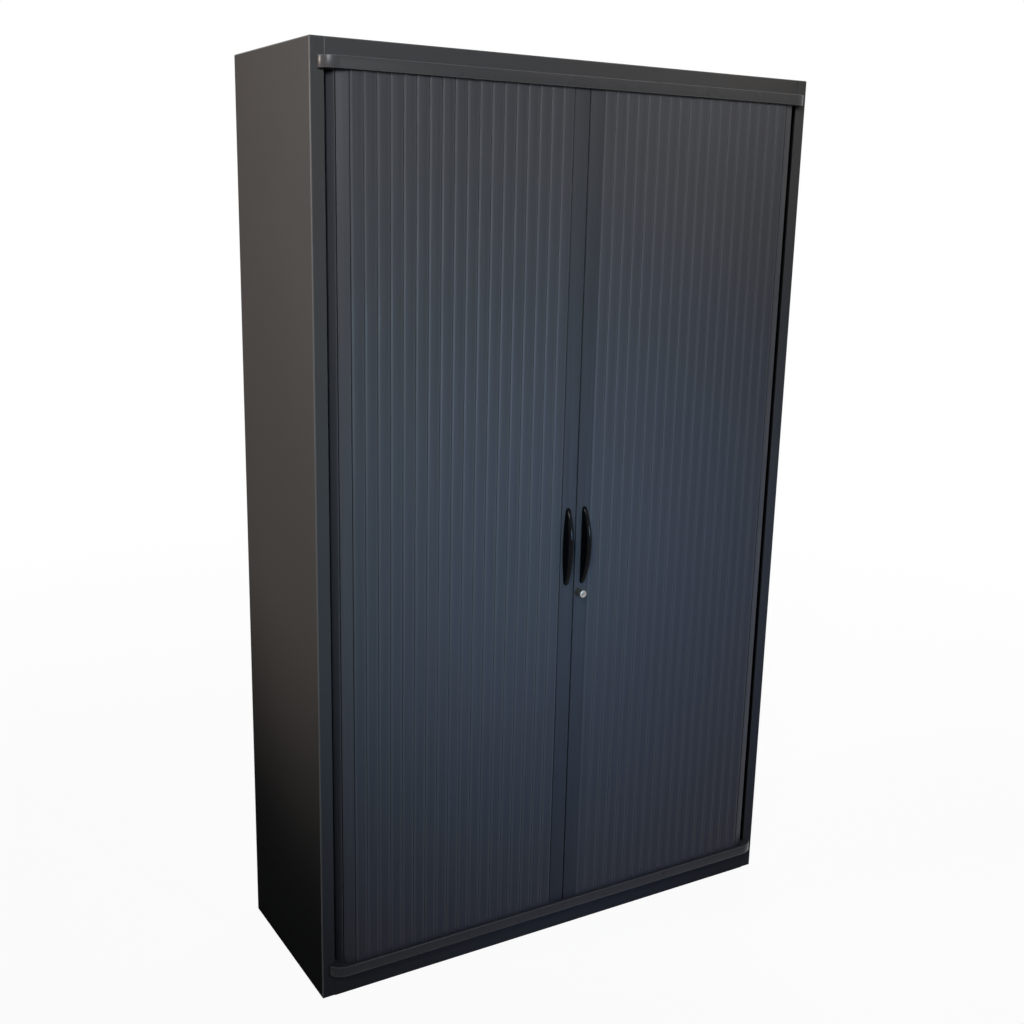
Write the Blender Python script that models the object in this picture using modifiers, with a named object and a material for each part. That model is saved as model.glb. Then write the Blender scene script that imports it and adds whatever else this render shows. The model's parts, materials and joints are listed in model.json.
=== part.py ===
"""Tambour door cabinet: two slatted curtain doors that slide apart and round the front corners."""

import math

import bmesh
import bpy
from mathutils import Matrix, Vector

MM = 0.001

# Carcass
WIDTH = 1200 * MM
DEPTH = 410 * MM
HEIGHT = 1960 * MM
SHEET = 1.2 * MM
SIDE_FLANGE = 28 * MM
PLINTH_HEIGHT = 56 * MM
FASCIA_HEIGHT = 33 * MM
STIFFENER_HEIGHT = 20 * MM
GAP = 0.3 * MM
OVERRUN = 5 * MM
WELD_DISTANCE = 0.01 * MM

# Rails and tracks
RAIL_HEIGHT = 23 * MM
RAIL_PROUD = 27 * MM
RAIL_SKIN = 3 * MM
RAIL_END_INSET = 14 * MM
RAIL_END_LENGTH = 42 * MM
RAIL_END_STEPS = 6
GROOVE_DEPTH = 12 * MM
GROOVE_PLAY = 0.6 * MM
TRACK_WALL = 3 * MM
TRACK_SIDE_PLAY = 3.5 * MM
TRACK_LEDGE = 18 * MM
REAR_RUN = 150 * MM
REAR_LINE_INSET = 12 * MM
CURVE_STEPS = 6

# Curtain doors
DOOR_PROUD = 18 * MM
SLAT_PITCH = 27.3 * MM
SLAT_THICKNESS = 9 * MM
SLAT_NOTCH = 1.4 * MM
SLATS_PER_NODE = 2
TAIL_SLATS = 2
CORNER_SLATS = 2
STILE_WIDTH = 37.1 * MM
STILE_THICKNESS = 14 * MM
SEAM_GAP = 0.8 * MM
END_PLAY = 1.0 * MM

# Handles
HANDLE_LENGTH = 176 * MM
HANDLE_REACH = 26 * MM
HANDLE_LEVEL = 945 * MM
HANDLE_INSET = 15.5 * MM
HANDLE_END_WIDTH = 11 * MM
HANDLE_BULGE = 5.5 * MM
HANDLE_STEPS = 12
SCREW_SPACING = 96 * MM
SCREW_RADIUS = 2 * MM
SCREW_HEAD_RADIUS = 4 * MM
SCREW_HEAD_HEIGHT = 2.5 * MM
SCREW_BITE = 9 * MM
SCREW_STEPS = 16

# Lock
LOCK_INSET = 13.5 * MM
LOCK_LEVEL = 837.4 * MM
LOCK_RADIUS = 8.2 * MM
LOCK_REACH = 20 * MM
LOCK_TAIL = 8 * MM
LOCK_STEPS = 32
PLUG_RADIUS = 5.2 * MM
PLUG_RECESS = 0.6 * MM
PLUG_PIN_RADIUS = 2.6 * MM
KEY_SLOT_LENGTH = 7 * MM
KEY_SLOT_WIDTH = 1.6 * MM
KEY_SLOT_DEPTH = 6 * MM
KEY_SLOT_TURN = math.radians(45)
NUT_RADIUS = 11.5 * MM
NUT_HEIGHT = 3 * MM
HOOK_THICKNESS = 2.5 * MM
HOOK_LENGTH = 29 * MM
HOOK_WIDTH = 9 * MM
HOOK_CLEARANCE = 1.0 * MM
KEEPER_LENGTH = 20 * MM
KEEPER_WALL = 3 * MM
KEEPER_INSET = 4 * MM

# Interior
LINER_FLANGE = 20 * MM
LINER_FRONT_INSET = 12 * MM
INNER_BACK_INSET = 26.5 * MM
SHELF_COUNT = 4
SHELF_HEIGHT = 25 * MM
SHELF_SIDE_PLAY = 1.0 * MM
SHELF_FRONT_PLAY = 3 * MM
HOOK_TAB_WIDTH = 14 * MM
HOOK_TAB_HEIGHT = 9 * MM
HOOK_TAB_REACH = 4 * MM
HOOK_TAB_INSET = 45 * MM

# Levelling feet
FOOT_RADIUS = 20 * MM
FOOT_PAD_HEIGHT = 8 * MM
FOOT_STEM_RADIUS = 5 * MM
FOOT_STEM_TOP_GAP = 4 * MM
FOOT_SIDE_INSET = 70 * MM
FOOT_FRONT_INSET = 60 * MM
BOSS_RADIUS = 12 * MM
BOSS_HEIGHT = 26 * MM
FOOT_STEPS = 24

# Planes that the sizes above fix
FRONT = (DOOR_PROUD + GAP + HANDLE_REACH - DEPTH) / 2
BACK = FRONT + DEPTH
SIDE = WIDTH / 2
CORE_SIDE = SIDE - SIDE_FLANGE - GAP
CORE_BACK = BACK - SHEET - GAP
LOWER_RAIL_TOP = PLINTH_HEIGHT + RAIL_HEIGHT
UPPER_RAIL_TOP = HEIGHT - FASCIA_HEIGHT
UPPER_RAIL_BOTTOM = UPPER_RAIL_TOP - RAIL_HEIGHT
DOOR_FACE = FRONT - DOOR_PROUD
DOOR_INNER = DOOR_FACE + SLAT_THICKNESS
DOOR_LINE = DOOR_FACE + SLAT_THICKNESS / 2
STILE_BACK = DOOR_FACE + STILE_THICKNESS
STILE_EDGE = SEAM_GAP / 2 + STILE_WIDTH
GROOVE_HALF = SLAT_THICKNESS / 2 + GROOVE_PLAY
TRACK_HALF = GROOVE_HALF + TRACK_WALL
CORNER_TURN = math.pi / 2 / CORNER_SLATS
CORNER_RADIUS = SLAT_PITCH / (2 * math.sin(CORNER_TURN / 2)) - SLAT_THICKNESS / 2
SIDE_LINE = CORE_SIDE - TRACK_SIDE_PLAY - TRACK_HALF
ARC_X = SIDE_LINE - CORNER_RADIUS
SLAT_NODES = round((ARC_X - STILE_EDGE) / (SLATS_PER_NODE * SLAT_PITCH))
SLAT_STEP = (ARC_X - STILE_EDGE) / (SLATS_PER_NODE * SLAT_NODES)
FRONT_ARC_Y = DOOR_LINE + CORNER_RADIUS
REAR_ARC_Y = BACK - REAR_LINE_INSET - CORNER_RADIUS
TRACK_INNER_SIDE = SIDE_LINE - TRACK_HALF
TRACK_INNER_FRONT = FRONT + TRACK_LEDGE
TRACK_INNER_REAR = BACK - REAR_LINE_INSET - TRACK_HALF
CURTAIN_BOTTOM = LOWER_RAIL_TOP - GROOVE_DEPTH + END_PLAY
CURTAIN_TOP = UPPER_RAIL_BOTTOM + GROOVE_DEPTH - END_PLAY
STILE_BOTTOM = LOWER_RAIL_TOP + END_PLAY
STILE_TOP = UPPER_RAIL_BOTTOM - END_PLAY
LINER_OUTER = TRACK_INNER_SIDE - GAP
LINER_FRONT = FRONT + LINER_FRONT_INSET
INNER_BACK = BACK - INNER_BACK_INSET
ROOM_BOTTOM = LOWER_RAIL_TOP + GAP
ROOM_TOP = UPPER_RAIL_BOTTOM - GAP
SHELF_SIDE = LINER_OUTER - SHEET - SHELF_SIDE_PLAY
SHELF_FRONT = LINER_FRONT + SHEET + SHELF_FRONT_PLAY
SHELF_BACK = INNER_BACK - SHEET - 2 * GAP
SHELF_STEP = (ROOM_TOP - ROOM_BOTTOM) / (SHELF_COUNT + 1)

CHARCOAL = ("charcoal_powder_coat", (0.052, 0.053, 0.058), 0.48, 0.35)
INTERIOR = ("interior_powder_coat", (0.11, 0.112, 0.118), 0.55, 0.25)
SLAT_PLASTIC = ("slat_plastic", (0.05, 0.055, 0.066), 0.42, 0.0)
TRACK_PLASTIC = ("track_plastic", (0.015, 0.015, 0.016), 0.6, 0.0)
GLOSS_BLACK = ("gloss_black_plastic", (0.006, 0.006, 0.007), 0.15, 0.0)
NICKEL = ("nickel_plate", (0.62, 0.6, 0.56), 0.25, 1.0)
ZINC = ("zinc_steel", (0.45, 0.46, 0.48), 0.4, 1.0)
RUBBER = ("foot_rubber", (0.012, 0.012, 0.012), 0.8, 0.0)


def clear_scene():
    for obj in list(bpy.data.objects):
        bpy.data.objects.remove(obj, do_unlink=True)


def collection(name):
    group = bpy.data.collections.new(name)
    bpy.context.scene.collection.children.link(group)
    return group


def add_material(obj, spec):
    name, colour, roughness, metallic = spec
    material = bpy.data.materials.get(name)
    if material is None:
        material = bpy.data.materials.new(name)
        material.use_nodes = True
        shader = material.node_tree.nodes["Principled BSDF"]
        shader.inputs["Base Color"].default_value = (*colour, 1)
        shader.inputs["Roughness"].default_value = roughness
        shader.inputs["Metallic"].default_value = metallic
    obj.data.materials.clear()
    obj.data.materials.append(material)


def mesh_object(name, shape, group, spec=None):
    mesh = bpy.data.meshes.new(name)
    shape.to_mesh(mesh)
    shape.free()
    obj = bpy.data.objects.new(name, mesh)
    group.objects.link(obj)
    if spec:
        add_material(obj, spec)
    return obj


def box_shape(low, high):
    shape = bmesh.new()
    bmesh.ops.create_cube(shape, size=1)
    low, high = Vector(low), Vector(high)
    bmesh.ops.scale(shape, vec=high - low, verts=shape.verts)
    bmesh.ops.translate(shape, vec=(low + high) / 2, verts=shape.verts)
    return shape


def add_box(name, low, high, spec):
    return mesh_object(name, box_shape(low, high), parts, spec)


def add_pan(name, low, high, open_side, spec):
    # A folded sheet tray: a box without the face that looks along open_side
    shape = box_shape(low, high)
    shape.normal_update()
    lost = [face for face in shape.faces if face.normal.dot(Vector(open_side)) > 0.9]
    bmesh.ops.delete(shape, geom=lost, context="FACES")
    obj = mesh_object(name, shape, parts, spec)
    fold = obj.modifiers.new("sheet", "SOLIDIFY")
    fold.thickness = SHEET
    fold.offset = -1
    fold.use_even_offset = True
    return obj


def cylinder_shape(x, z, radius, near, far, steps):
    # A cylinder along Y from near to far
    shape = bmesh.new()
    bmesh.ops.create_cone(shape, cap_ends=True, segments=steps, radius1=radius, radius2=radius,
                          depth=far - near)
    bmesh.ops.rotate(shape, cent=(0, 0, 0), verts=shape.verts, matrix=Matrix.Rotation(math.pi / 2, 3, "X"))
    bmesh.ops.translate(shape, vec=(x, (near + far) / 2, z), verts=shape.verts)
    return shape


def post_shape(x, y, radius, low, high, steps):
    # A cylinder along Z from low to high
    shape = bmesh.new()
    bmesh.ops.create_cone(shape, cap_ends=True, segments=steps, radius1=radius, radius2=radius,
                          depth=high - low)
    bmesh.ops.translate(shape, vec=(x, y, (low + high) / 2), verts=shape.verts)
    return shape


def add_outline(name, points, low, high, group, spec=None):
    # A flat outline in X and Y, raised from low to high, as a welded mesh
    curve = bpy.data.curves.new(name, "CURVE")
    curve.dimensions = "2D"
    curve.fill_mode = "BOTH"
    curve.extrude = (high - low) / 2
    spline = curve.splines.new("POLY")
    spline.points.add(len(points) - 1)
    for point, (x, y) in zip(spline.points, points):
        point.co = (x, y, 0, 1)
    spline.use_cyclic_u = True
    guide = bpy.data.objects.new(name + "_outline", curve)
    group.objects.link(guide)
    guide.location.z = (low + high) / 2
    bpy.context.view_layer.update()
    graph = bpy.context.evaluated_depsgraph_get()
    mesh = bpy.data.meshes.new_from_object(guide.evaluated_get(graph))
    shape = bmesh.new()
    shape.from_mesh(mesh)
    bmesh.ops.remove_doubles(shape, verts=shape.verts, dist=WELD_DISTANCE)
    bmesh.ops.transform(shape, matrix=guide.matrix_world, verts=shape.verts)
    bpy.data.objects.remove(guide, do_unlink=True)
    bpy.data.meshes.remove(mesh)
    return mesh_object(name, shape, group, spec)


def combine(obj, cutter, operation):
    step = obj.modifiers.new(operation.lower(), "BOOLEAN")
    step.operation = operation
    step.solver = "EXACT"
    step.object = cutter
    cutter.hide_render = True
    cutter.display_type = "WIRE"


def cut_shape(obj, shape):
    combine(obj, mesh_object(obj.name + "_cutter", shape, cutters), "DIFFERENCE")


def join_shape(obj, shape):
    combine(obj, mesh_object(obj.name + "_joined", shape, cutters), "UNION")


def arc(centre_x, centre_y, radius_x, radius_y, start, end, steps):
    points = []
    for step in range(steps + 1):
        angle = start + (end - start) * step / steps
        points.append((centre_x + radius_x * math.cos(angle), centre_y + radius_y * math.sin(angle)))
    return points


def mirrored(points):
    return [(-x, y) for x, y in reversed(points)]


def curtain_line(offset):
    # The curtain's route from one rear end round both front corners to the other, moved out by offset
    radius = CORNER_RADIUS + offset
    left = [(-(ARC_X - REAR_RUN), REAR_ARC_Y + radius)]
    left += arc(-ARC_X, REAR_ARC_Y, radius, radius, math.pi / 2, math.pi, CURVE_STEPS)
    left += arc(-ARC_X, FRONT_ARC_Y, radius, radius, math.pi, 1.5 * math.pi, CURVE_STEPS)
    return left + mirrored(left)


def rail_line(inset):
    # The rail's front face and its rounded ends, moved in by inset
    centre = SIDE - RAIL_END_INSET - RAIL_END_LENGTH
    left = arc(-centre, FRONT - GAP, RAIL_END_LENGTH - inset, RAIL_PROUD - GAP - inset,
               math.pi, 1.5 * math.pi, RAIL_END_STEPS)
    return left + mirrored(left)


def build_carcass():
    for side, name in ((-1, "left_side_panel"), (1, "right_side_panel")):
        low_x, high_x = sorted((side * SIDE, side * (SIDE - SIDE_FLANGE)))
        add_pan(name, (low_x, FRONT, 0), (high_x, BACK, HEIGHT), (-side, 0, 0), CHARCOAL)
    add_box("back_panel", (-CORE_SIDE, BACK - SHEET, 0), (CORE_SIDE, BACK, HEIGHT), CHARCOAL)
    add_pan("top_panel", (-CORE_SIDE, FRONT, UPPER_RAIL_TOP), (CORE_SIDE, CORE_BACK, HEIGHT),
            (0, 0, -1), CHARCOAL)
    inset = SHEET + GAP
    add_pan("top_stiffener", (inset - CORE_SIDE, FRONT + inset, UPPER_RAIL_TOP),
            (CORE_SIDE - inset, CORE_BACK - inset, UPPER_RAIL_TOP + STIFFENER_HEIGHT), (0, 0, 1), INTERIOR)


def foot_places():
    for side, across in (("left", -1), ("right", 1)):
        yield side + "_front_foot", across * (SIDE - FOOT_SIDE_INSET), FRONT + FOOT_FRONT_INSET
        yield side + "_rear_foot", across * (SIDE - FOOT_SIDE_INSET), BACK - FOOT_FRONT_INSET


def build_base():
    base = add_pan("base_panel", (-CORE_SIDE, FRONT, 0), (CORE_SIDE, CORE_BACK, PLINTH_HEIGHT),
                   (0, 0, -1), CHARCOAL)
    skin = PLINTH_HEIGHT - SHEET
    for name, x, y in foot_places():
        join_shape(base, post_shape(x, y, BOSS_RADIUS, skin - BOSS_HEIGHT, skin + SHEET / 2, FOOT_STEPS))
        bore_top = skin - FOOT_STEM_TOP_GAP / 2
        bore = post_shape(x, y, FOOT_STEM_RADIUS + GAP, skin - BOSS_HEIGHT - OVERRUN, bore_top, FOOT_STEPS)
        cut_shape(base, bore)
    for name, x, y in foot_places():
        pad = post_shape(x, y, FOOT_RADIUS, 0, FOOT_PAD_HEIGHT, FOOT_STEPS)
        foot = mesh_object(name, pad, parts, RUBBER)
        stem_top = skin - FOOT_STEM_TOP_GAP
        stem = post_shape(x, y, FOOT_STEM_RADIUS, FOOT_PAD_HEIGHT / 2, stem_top, FOOT_STEPS)
        join_shape(foot, stem)


def build_rails():
    levels = (("bottom", PLINTH_HEIGHT, LOWER_RAIL_TOP), ("top", UPPER_RAIL_BOTTOM, UPPER_RAIL_TOP))
    for name, low, high in levels:
        points = rail_line(0) + list(reversed(rail_line(RAIL_SKIN)))
        add_outline(name + "_rail", points, low + GAP, high - GAP, parts, CHARCOAL)


def track_outline():
    front = rail_line(RAIL_SKIN + GAP)
    outer = SIDE_LINE + TRACK_HALF
    rear_end = ARC_X - REAR_RUN
    radius = CORNER_RADIUS + TRACK_HALF
    right = [(outer, FRONT - GAP), (outer, REAR_ARC_Y)]
    right += arc(ARC_X, REAR_ARC_Y, radius, radius, 0, math.pi / 2, CURVE_STEPS)[1:]
    right += [(rear_end, REAR_ARC_Y + radius), (rear_end, TRACK_INNER_REAR)]
    right += [(TRACK_INNER_SIDE, TRACK_INNER_REAR), (TRACK_INNER_SIDE, TRACK_INNER_FRONT)]
    return front + right + mirrored(right)


def build_tracks():
    groove = curtain_line(GROOVE_HALF) + list(reversed(curtain_line(-GROOVE_HALF)))
    lower = add_outline("bottom_track", track_outline(), PLINTH_HEIGHT + GAP, LOWER_RAIL_TOP,
                        parts, TRACK_PLASTIC)
    lower_cut = add_outline("bottom_track_groove", groove, LOWER_RAIL_TOP - GROOVE_DEPTH,
                            LOWER_RAIL_TOP + OVERRUN, cutters)
    combine(lower, lower_cut, "DIFFERENCE")
    upper = add_outline("top_track", track_outline(), UPPER_RAIL_BOTTOM, UPPER_RAIL_TOP - GAP,
                        parts, TRACK_PLASTIC)
    upper_cut = add_outline("top_track_groove", groove, UPPER_RAIL_BOTTOM - OVERRUN,
                            UPPER_RAIL_BOTTOM + GROOVE_DEPTH, cutters)
    combine(upper, upper_cut, "DIFFERENCE")


def build_floor_and_ceiling():
    side = TRACK_INNER_SIDE - GAP
    front = TRACK_INNER_FRONT + GAP
    rear = TRACK_INNER_REAR - GAP
    add_pan("floor_panel", (-side, front, PLINTH_HEIGHT + GAP), (side, rear, LOWER_RAIL_TOP),
            (0, 0, -1), INTERIOR)
    add_pan("ceiling_panel", (-side, front, UPPER_RAIL_BOTTOM), (side, rear, UPPER_RAIL_TOP - GAP),
            (0, 0, 1), INTERIOR)


def shelf_level(number):
    # The height of a shelf's upper face
    return ROOM_BOTTOM + SHELF_STEP * (number + 1)


def tab_places():
    return SHELF_FRONT + HOOK_TAB_INSET, SHELF_BACK - HOOK_TAB_INSET


def tab_shape(side, place, level, growth):
    # A shelf's hook tab, or with growth the slot that takes it
    near = SHELF_SIDE - SHEET / 2 if growth == 0 else LINER_OUTER - SHEET - OVERRUN
    far = LINER_OUTER + HOOK_TAB_REACH if growth == 0 else LINER_OUTER + OVERRUN
    low_x, high_x = sorted((side * near, side * far))
    half = HOOK_TAB_WIDTH / 2 + growth
    top = level - SHEET * 2
    low = (low_x, place - half, top - HOOK_TAB_HEIGHT - growth)
    return box_shape(low, (high_x, place + half, top + growth))


def build_liners():
    for side, name in ((-1, "left_liner"), (1, "right_liner")):
        low_x, high_x = sorted((side * LINER_OUTER, side * (LINER_OUTER - LINER_FLANGE)))
        shape = box_shape((low_x, LINER_FRONT, ROOM_BOTTOM), (high_x, INNER_BACK - GAP, ROOM_TOP))
        shape.normal_update()
        lost = [face for face in shape.faces if face.normal.x * side < -0.9 or abs(face.normal.z) > 0.9]
        bmesh.ops.delete(shape, geom=lost, context="FACES")
        liner = mesh_object(name, shape, parts, INTERIOR)
        fold = liner.modifiers.new("sheet", "SOLIDIFY")
        fold.thickness = SHEET
        fold.offset = -1
        fold.use_even_offset = True
        for number in range(SHELF_COUNT):
            for place in tab_places():
                cut_shape(liner, tab_shape(side, place, shelf_level(number), GAP))
    add_box("inner_back_panel", (-LINER_OUTER, INNER_BACK, ROOM_BOTTOM),
            (LINER_OUTER, INNER_BACK + SHEET, ROOM_TOP), INTERIOR)


def build_shelves():
    for number in range(SHELF_COUNT):
        level = shelf_level(number)
        shelf = add_pan("shelf_%d" % (number + 1), (-SHELF_SIDE, SHELF_FRONT, level - SHELF_HEIGHT),
                        (SHELF_SIDE, SHELF_BACK, level), (0, 0, -1), INTERIOR)
        for side in (-1, 1):
            for place in tab_places():
                join_shape(shelf, tab_shape(side, place, level, 0))


def slat_profile(start, count):
    # Slats side by side from start outwards: a notch at each joint and one flat back
    half_gap = GAP / 2
    last = start + count * SLAT_STEP
    points = [(start + half_gap, DOOR_FACE + SLAT_NOTCH - half_gap)]
    for number in range(count):
        near = start + number * SLAT_STEP
        points.append((near + SLAT_NOTCH, DOOR_FACE))
        points.append((near + SLAT_STEP - SLAT_NOTCH, DOOR_FACE))
        if number < count - 1:
            points.append((near + SLAT_STEP, DOOR_FACE + SLAT_NOTCH))
    points.append((last - half_gap, DOOR_FACE + SLAT_NOTCH - half_gap))
    points.append((last - half_gap, DOOR_INNER))
    points.append((start + half_gap, DOOR_INNER))
    return points


def sided(points, side):
    return points if side > 0 else mirrored(points)


def build_curtains():
    outer = CORNER_RADIUS + SLAT_THICKNESS / 2
    inner = CORNER_RADIUS - SLAT_THICKNESS / 2
    for side, word in ((-1, "left"), (1, "right")):
        for number in range(SLAT_NODES):
            start = STILE_EDGE + number * SLATS_PER_NODE * SLAT_STEP
            points = sided(slat_profile(start, SLATS_PER_NODE), side)
            add_outline("%s_slats_%d" % (word, number + 1), points, CURTAIN_BOTTOM, CURTAIN_TOP,
                        parts, SLAT_PLASTIC)
        bend = arc(ARC_X + GAP, FRONT_ARC_Y, outer, outer, -math.pi / 2, 0, CORNER_SLATS)
        bend += arc(ARC_X + GAP, FRONT_ARC_Y, inner, inner, 0, -math.pi / 2, CURVE_STEPS)
        add_outline(word + "_corner_slats", sided(bend, side), CURTAIN_BOTTOM, CURTAIN_TOP,
                    parts, SLAT_PLASTIC)
        near = FRONT_ARC_Y + GAP
        far = near + TAIL_SLATS * SLAT_PITCH
        low_x, high_x = sorted((side * (ARC_X + GAP + inner), side * (ARC_X + GAP + outer)))
        add_box(word + "_tail_slats", (low_x, near, CURTAIN_BOTTOM), (high_x, far, CURTAIN_TOP),
                SLAT_PLASTIC)


def screw_levels():
    return HANDLE_LEVEL - SCREW_SPACING / 2, HANDLE_LEVEL + SCREW_SPACING / 2


def handle_centre():
    return HANDLE_INSET + HANDLE_END_WIDTH / 2


def build_stiles():
    for side, word in ((-1, "left"), (1, "right")):
        low_x, high_x = sorted((side * SEAM_GAP / 2, side * STILE_EDGE))
        stile = add_box(word + "_stile", (low_x, DOOR_FACE, STILE_BOTTOM), (high_x, STILE_BACK, STILE_TOP),
                        SLAT_PLASTIC)
        tongue_low, tongue_high = (low_x, DOOR_FACE, CURTAIN_BOTTOM), (high_x, DOOR_INNER, CURTAIN_TOP)
        join_shape(stile, box_shape(tongue_low, tongue_high))
        for level in screw_levels():
            cut_shape(stile, cylinder_shape(side * handle_centre(), level, SCREW_RADIUS + GAP,
                                            DOOR_FACE - OVERRUN, STILE_BACK + OVERRUN, SCREW_STEPS))
        if side > 0:
            cut_shape(stile, cylinder_shape(LOCK_INSET, LOCK_LEVEL, LOCK_RADIUS + GAP,
                                            DOOR_FACE - OVERRUN, STILE_BACK + OVERRUN, LOCK_STEPS))


def bow_outline():
    # The handle seen from its side: a chord on the door and an arc that stands out from it
    half = HANDLE_LENGTH / 2
    radius = (half * half + HANDLE_REACH * HANDLE_REACH) / (2 * HANDLE_REACH)
    swing = math.asin(half / radius)
    centre = radius - HANDLE_REACH
    return arc(centre, 0, -radius, radius, -swing, swing, HANDLE_STEPS)


def grip_outline():
    # The handle seen from the front: a straight edge by the seam and a bowed outer edge
    half = HANDLE_LENGTH / 2
    bulge = (half * half + HANDLE_BULGE * HANDLE_BULGE) / (2 * HANDLE_BULGE)
    swing = math.asin(half / bulge)
    centre = HANDLE_INSET + HANDLE_END_WIDTH + HANDLE_BULGE - bulge
    bowed = arc(centre, 0, bulge, bulge, -swing, swing, HANDLE_STEPS)
    return [(HANDLE_INSET, half), (HANDLE_INSET, -half)] + bowed


def stand_up(obj, turn):
    # Turns a flat outline's mesh to stand at the handle's level, in front of the door
    place = Matrix.Translation((0, DOOR_FACE - GAP, HANDLE_LEVEL))
    obj.data.transform(place @ turn)


def build_handles():
    upright = Matrix.Rotation(math.pi / 2, 4, "X")
    sideways = Matrix.Rotation(math.pi / 2, 4, "Z") @ upright
    for side, word in ((-1, "left"), (1, "right")):
        reach = HANDLE_REACH + OVERRUN
        grip = add_outline(word + "_handle", sided(grip_outline(), side), 0, reach, parts, GLOSS_BLACK)
        stand_up(grip, upright)
        bow = add_outline(word + "_handle_bow", bow_outline(), -STILE_EDGE, STILE_EDGE, cutters)
        stand_up(bow, sideways)
        combine(grip, bow, "INTERSECT")
        x = side * handle_centre()
        for number, level in enumerate(screw_levels()):
            cut_shape(grip, cylinder_shape(x, level, SCREW_RADIUS + GAP, DOOR_FACE - SCREW_BITE - GAP,
                                           DOOR_FACE + OVERRUN, SCREW_STEPS))
            shank = cylinder_shape(x, level, SCREW_RADIUS, DOOR_FACE - SCREW_BITE, STILE_BACK + 2 * GAP,
                                   SCREW_STEPS)
            screw = mesh_object("%s_handle_screw_%d" % (word, number + 1), shank, parts, ZINC)
            head = STILE_BACK + GAP
            join_shape(screw, cylinder_shape(x, level, SCREW_HEAD_RADIUS, head, head + SCREW_HEAD_HEIGHT,
                                             SCREW_STEPS))


def lock_planes():
    face = DOOR_FACE - LOCK_REACH
    tail = STILE_BACK + LOCK_TAIL
    return face, tail


def build_lock():
    face, tail = lock_planes()
    x, z = LOCK_INSET, LOCK_LEVEL
    barrel = cylinder_shape(x, z, LOCK_RADIUS, face, tail, LOCK_STEPS)
    housing = mesh_object("lock_housing", barrel, parts, NICKEL)
    cut_shape(housing, cylinder_shape(x, z, PLUG_RADIUS + GAP, face - OVERRUN, tail + OVERRUN, LOCK_STEPS))

    plug_face = face + PLUG_RECESS
    hook_near = tail + GAP
    hook_far = hook_near + HOOK_THICKNESS
    core = cylinder_shape(0, 0, PLUG_RADIUS, plug_face, tail, LOCK_STEPS)
    plug = mesh_object("lock_plug", core, parts, NICKEL)
    plug.location = (x, 0, z)
    join_shape(plug, cylinder_shape(x, z, PLUG_PIN_RADIUS, tail - OVERRUN, hook_far, LOCK_STEPS))
    key = box_shape((-KEY_SLOT_LENGTH / 2, plug_face - OVERRUN, -KEY_SLOT_WIDTH / 2),
                    (KEY_SLOT_LENGTH / 2, plug_face + KEY_SLOT_DEPTH, KEY_SLOT_WIDTH / 2))
    slot = mesh_object("lock_plug_key_slot", key, cutters)
    slot.location = (x, 0, z)
    slot.rotation_euler.y = KEY_SLOT_TURN
    combine(plug, slot, "DIFFERENCE")

    nut_near = STILE_BACK + GAP
    nut = cylinder_shape(x, z, NUT_RADIUS, nut_near, nut_near + NUT_HEIGHT, 6)
    nut = mesh_object("lock_nut", nut, parts, ZINC)
    nut_bore = cylinder_shape(x, z, LOCK_RADIUS + GAP, nut_near - OVERRUN, nut_near + NUT_HEIGHT + OVERRUN,
                              LOCK_STEPS)
    cut_shape(nut, nut_bore)

    half = HOOK_WIDTH / 2
    arm = box_shape((-half, hook_near, -half), (half, hook_far, HOOK_LENGTH))
    hook = mesh_object("lock_hook", arm, parts, ZINC)
    hook.location = (x, 0, z)
    hook_bore = cylinder_shape(x, z, PLUG_PIN_RADIUS + GAP, hook_near - OVERRUN, hook_far + OVERRUN,
                               LOCK_STEPS)
    cut_shape(hook, hook_bore)

    opening = half + HOOK_CLEARANCE
    left = -SEAM_GAP / 2 - KEEPER_INSET
    keeper = add_box("lock_keeper", (left - KEEPER_LENGTH, STILE_BACK + GAP, z - opening - KEEPER_WALL),
                     (left, hook_far + GAP, z + opening), ZINC)
    cut_shape(keeper, box_shape((left - KEEPER_LENGTH - OVERRUN, hook_near - HOOK_CLEARANCE, z - opening),
                                (left + OVERRUN, hook_far + OVERRUN, z + opening + OVERRUN)))


clear_scene()
parts = collection("tambour_door_cabinet")
cutters = collection("cutters")
build_carcass()
build_base()
build_rails()
build_tracks()
build_floor_and_ceiling()
build_liners()
build_shelves()
build_curtains()
build_stiles()
build_handles()
build_lock()
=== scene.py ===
import json
import math

import bpy
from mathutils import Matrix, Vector


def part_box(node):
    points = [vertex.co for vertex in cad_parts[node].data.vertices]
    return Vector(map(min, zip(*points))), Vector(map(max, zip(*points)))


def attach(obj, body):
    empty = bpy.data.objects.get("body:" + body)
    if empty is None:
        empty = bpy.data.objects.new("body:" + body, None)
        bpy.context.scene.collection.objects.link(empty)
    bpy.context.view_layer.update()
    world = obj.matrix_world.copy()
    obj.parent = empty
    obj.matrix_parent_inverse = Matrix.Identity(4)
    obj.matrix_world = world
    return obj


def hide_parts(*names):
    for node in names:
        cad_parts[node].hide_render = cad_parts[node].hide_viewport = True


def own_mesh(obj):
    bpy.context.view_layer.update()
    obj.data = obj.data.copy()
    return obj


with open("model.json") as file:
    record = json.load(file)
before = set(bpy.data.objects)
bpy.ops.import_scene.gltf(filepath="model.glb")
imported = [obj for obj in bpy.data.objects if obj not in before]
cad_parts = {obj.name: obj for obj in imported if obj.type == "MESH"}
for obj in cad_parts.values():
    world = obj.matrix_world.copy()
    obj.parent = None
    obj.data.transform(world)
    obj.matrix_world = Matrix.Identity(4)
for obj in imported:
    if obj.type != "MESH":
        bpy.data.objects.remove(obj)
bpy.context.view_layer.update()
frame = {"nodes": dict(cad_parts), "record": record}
print("frame loaded,", len(frame["nodes"]), "nodes")

bodyOf = {}
for body, nodes in frame["record"]["behaviour"]["bodies"].items():
    for node in nodes:
        bodyOf[node] = body


# small workshop helpers

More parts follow.
